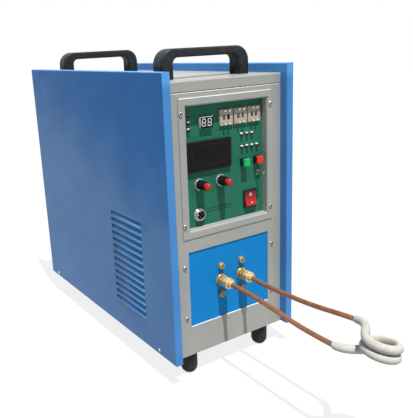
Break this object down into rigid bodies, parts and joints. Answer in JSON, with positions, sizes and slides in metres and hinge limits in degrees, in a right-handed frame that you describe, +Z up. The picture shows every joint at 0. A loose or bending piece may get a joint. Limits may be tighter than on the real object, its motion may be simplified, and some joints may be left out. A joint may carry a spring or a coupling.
{
  "type": "induction heating machine",
  "caption": "Bench induction heater: louvred cabinet with carry handles, recessed control board, water-cooled copper work coil in a woven sleeve, and a rear cooling fan.",
  "frame": {"origin": "on the floor, under the middle of the whole machine with its work coil", "axes": "+X across the front to the operator's right, +Y from the front to the rear, +Z up"},
  "size_m": [0.2344, 0.7578, 0.483],
  "materials": {
    "side_blue": "semi-gloss powder coat",
    "core_grey": "semi-gloss powder coat",
    "bezel_grey": "semi-gloss powder coat",
    "plate_azure": "satin insulating sheet",
    "handle_black": "fine-grained moulding",
    "foot_rubber": "matte",
    "screw_steel": "zinc plated",
    "board_green": "lacquered circuit board",
    "screen_dark": "dark glass face",
    "display_white": "diffusing lens",
    "lamp_clear": "moulded lens",
    "socket_metal": "nickel plated",
    "dial_cream": "moulded plastic",
    "wheel_white": "moulded plastic",
    "switch_black": "moulded plastic",
    "rocker_red": "translucent moulding",
    "cap_green": "moulded plastic",
    "cap_red": "moulded plastic",
    "knob_black": "moulded plastic with a red cap",
    "fan_black": "moulded plastic",
    "guard_chrome": "plated steel",
    "transformer_copper": "copper bar and ferrite",
    "bank_blue": "film capacitors",
    "sink_aluminium": "extruded",
    "inverter_green": "circuit board",
    "fitting_brass": "machined",
    "tube_copper": "drawn copper tube, heat-stained",
    "sleeve_white": "woven glass-fibre sleeve",
    "gland_black": "moulded nylon",
    "hose_black": "matte"
  },
  "bodies": {
    "cabinet": {"base_tray": "core_grey", "front_frame": "core_grey", "control_bezel": "bezel_grey", "output_plate": "plate_azure", "top_cover": "core_grey", "rear_panel": "core_grey", "left_side_panel": "side_blue", "right_side_panel": "side_blue", "carry_handles": "handle_black", "rubber_feet": "foot_rubber", "case_screws": "screw_steel", "control_board": "board_green", "display_screen": "screen_dark", "digit_display": "display_white", "indicator_lamps": "lamp_clear", "pedal_socket": "socket_metal", "dial_housings": "dial_cream", "rocker_frame": "switch_black", "button_bodies": "switch_black", "potentiometers": "socket_metal", "toggle_body": "socket_metal", "fan_frame": "fan_black", "fan_guard": "guard_chrome", "output_transformer": "transformer_copper", "capacitor_bank": "bank_blue", "heatsink": "sink_aluminium", "inverter_board": "inverter_green", "output_terminals": "fitting_brass", "flare_nuts": "fitting_brass", "terminal_bolts": "fitting_brass", "copper_coil": "tube_copper", "coil_sleeve": "sleeve_white", "water_nozzles": "fitting_brass", "cable_gland": "gland_black", "cooling_hoses": "hose_black"},
    "rocker_switch": {"rocker_switch": "rocker_red"},
    "start_button": {"start_button": "cap_green"},
    "stop_button": {"stop_button": "cap_red"},
    "left_knob": {"left_knob": "knob_black"},
    "right_knob": {"right_knob": "knob_black"},
    "toggle_lever": {"toggle_lever": "socket_metal"},
    "fan_rotor": {"fan_rotor": "fan_black"},
    "wheel_1a": {"wheel_1a": "wheel_white"},
    "wheel_1b": {"wheel_1b": "wheel_white"},
    "wheel_2a": {"wheel_2a": "wheel_white"},
    "wheel_2b": {"wheel_2b": "wheel_white"},
    "wheel_3a": {"wheel_3a": "wheel_white"},
    "wheel_3b": {"wheel_3b": "wheel_white"},
    "plus_1a": {"plus_1a": "dial_cream"},
    "plus_1b": {"plus_1b": "dial_cream"},
    "plus_2a": {"plus_2a": "dial_cream"},
    "plus_2b": {"plus_2b": "dial_cream"},
    "plus_3a": {"plus_3a": "dial_cream"},
    "plus_3b": {"plus_3b": "dial_cream"},
    "minus_1a": {"minus_1a": "dial_cream"},
    "minus_1b": {"minus_1b": "dial_cream"},
    "minus_2a": {"minus_2a": "dial_cream"},
    "minus_2b": {"minus_2b": "dial_cream"},
    "minus_3a": {"minus_3a": "dial_cream"},
    "minus_3b": {"minus_3b": "dial_cream"}
  },
  "joints": [
    {"name": "rocker_tilt", "type": "hinge", "parent": "cabinet", "child": "rocker_switch", "pos_m": [0.04891, -0.0782, 0.25617], "axis": [1, 0, 0], "range_deg": [0, 16]},
    {"name": "start_press", "type": "slide", "parent": "cabinet", "child": "start_button", "axis": [0, 1, 0], "range_m": [0, 0.002], "stiffness_N_per_m": 400},
    {"name": "stop_press", "type": "slide", "parent": "cabinet", "child": "stop_button", "axis": [0, 1, 0], "range_m": [0, 0.002], "stiffness_N_per_m": 400},
    {"name": "left_knob_turn", "type": "hinge", "parent": "cabinet", "child": "left_knob", "pos_m": [-0.04526, -0.0874, 0.29366], "axis": [0, 1, 0], "range_deg": [-135, 135]},
    {"name": "right_knob_turn", "type": "hinge", "parent": "cabinet", "child": "right_knob", "pos_m": [-0.0073, -0.0874, 0.29401], "axis": [0, 1, 0], "range_deg": [-135, 135]},
    {"name": "toggle_tilt", "type": "hinge", "parent": "cabinet", "child": "toggle_lever", "pos_m": [0.06351, -0.0789, 0.29489], "axis": [1, 0, 0], "range_deg": [-12, 12]},
    {"name": "fan_spin", "type": "hinge", "parent": "cabinet", "child": "fan_rotor", "pos_m": [0, 0.3366, 0.287], "axis": [0, 1, 0], "continuous": true},
    {"name": "wheel_1a_turn", "type": "hinge", "parent": "cabinet", "child": "wheel_1a", "pos_m": [0.00097, -0.0683, 0.38447], "axis": [1, 0, 0], "continuous": true},
    {"name": "wheel_1b_turn", "type": "hinge", "parent": "cabinet", "child": "wheel_1b", "pos_m": [0.00897, -0.0683, 0.38447], "axis": [1, 0, 0], "continuous": true},
    {"name": "wheel_2a_turn", "type": "hinge", "parent": "cabinet", "child": "wheel_2a", "pos_m": [0.02725, -0.0683, 0.38447], "axis": [1, 0, 0], "continuous": true},
    {"name": "wheel_2b_turn", "type": "hinge", "parent": "cabinet", "child": "wheel_2b", "pos_m": [0.03525, -0.0683, 0.38447], "axis": [1, 0, 0], "continuous": true},
    {"name": "wheel_3a_turn", "type": "hinge", "parent": "cabinet", "child": "wheel_3a", "pos_m": [0.05294, -0.0683, 0.38447], "axis": [1, 0, 0], "continuous": true},
    {"name": "wheel_3b_turn", "type": "hinge", "parent": "cabinet", "child": "wheel_3b", "pos_m": [0.06094, -0.0683, 0.38447], "axis": [1, 0, 0], "continuous": true},
    {"name": "plus_1a_press", "type": "slide", "parent": "cabinet", "child": "plus_1a", "axis": [0, 1, 0], "range_m": [0, 0.0015], "stiffness_N_per_m": 400},
    {"name": "plus_1b_press", "type": "slide", "parent": "cabinet", "child": "plus_1b", "axis": [0, 1, 0], "range_m": [0, 0.0015], "stiffness_N_per_m": 400},
    {"name": "plus_2a_press", "type": "slide", "parent": "cabinet", "child": "plus_2a", "axis": [0, 1, 0], "range_m": [0, 0.0015], "stiffness_N_per_m": 400},
    {"name": "plus_2b_press", "type": "slide", "parent": "cabinet", "child": "plus_2b", "axis": [0, 1, 0], "range_m": [0, 0.0015], "stiffness_N_per_m": 400},
    {"name": "plus_3a_press", "type": "slide", "parent": "cabinet", "child": "plus_3a", "axis": [0, 1, 0], "range_m": [0, 0.0015], "stiffness_N_per_m": 400},
    {"name": "plus_3b_press", "type": "slide", "parent": "cabinet", "child": "plus_3b", "axis": [0, 1, 0], "range_m": [0, 0.0015], "stiffness_N_per_m": 400},
    {"name": "minus_1a_press", "type": "slide", "parent": "cabinet", "child": "minus_1a", "axis": [0, 1, 0], "range_m": [0, 0.0015], "stiffness_N_per_m": 400},
    {"name": "minus_1b_press", "type": "slide", "parent": "cabinet", "child": "minus_1b", "axis": [0, 1, 0], "range_m": [0, 0.0015], "stiffness_N_per_m": 400},
    {"name": "minus_2a_press", "type": "slide", "parent": "cabinet", "child": "minus_2a", "axis": [0, 1, 0], "range_m": [0, 0.0015], "stiffness_N_per_m": 400},
    {"name": "minus_2b_press", "type": "slide", "parent": "cabinet", "child": "minus_2b", "axis": [0, 1, 0], "range_m": [0, 0.0015], "stiffness_N_per_m": 400},
    {"name": "minus_3a_press", "type": "slide", "parent": "cabinet", "child": "minus_3a", "axis": [0, 1, 0], "range_m": [0, 0.0015], "stiffness_N_per_m": 400},
    {"name": "minus_3b_press", "type": "slide", "parent": "cabinet", "child": "minus_3b", "axis": [0, 1, 0], "range_m": [0, 0.0015], "stiffness_N_per_m": 400}
  ]
}
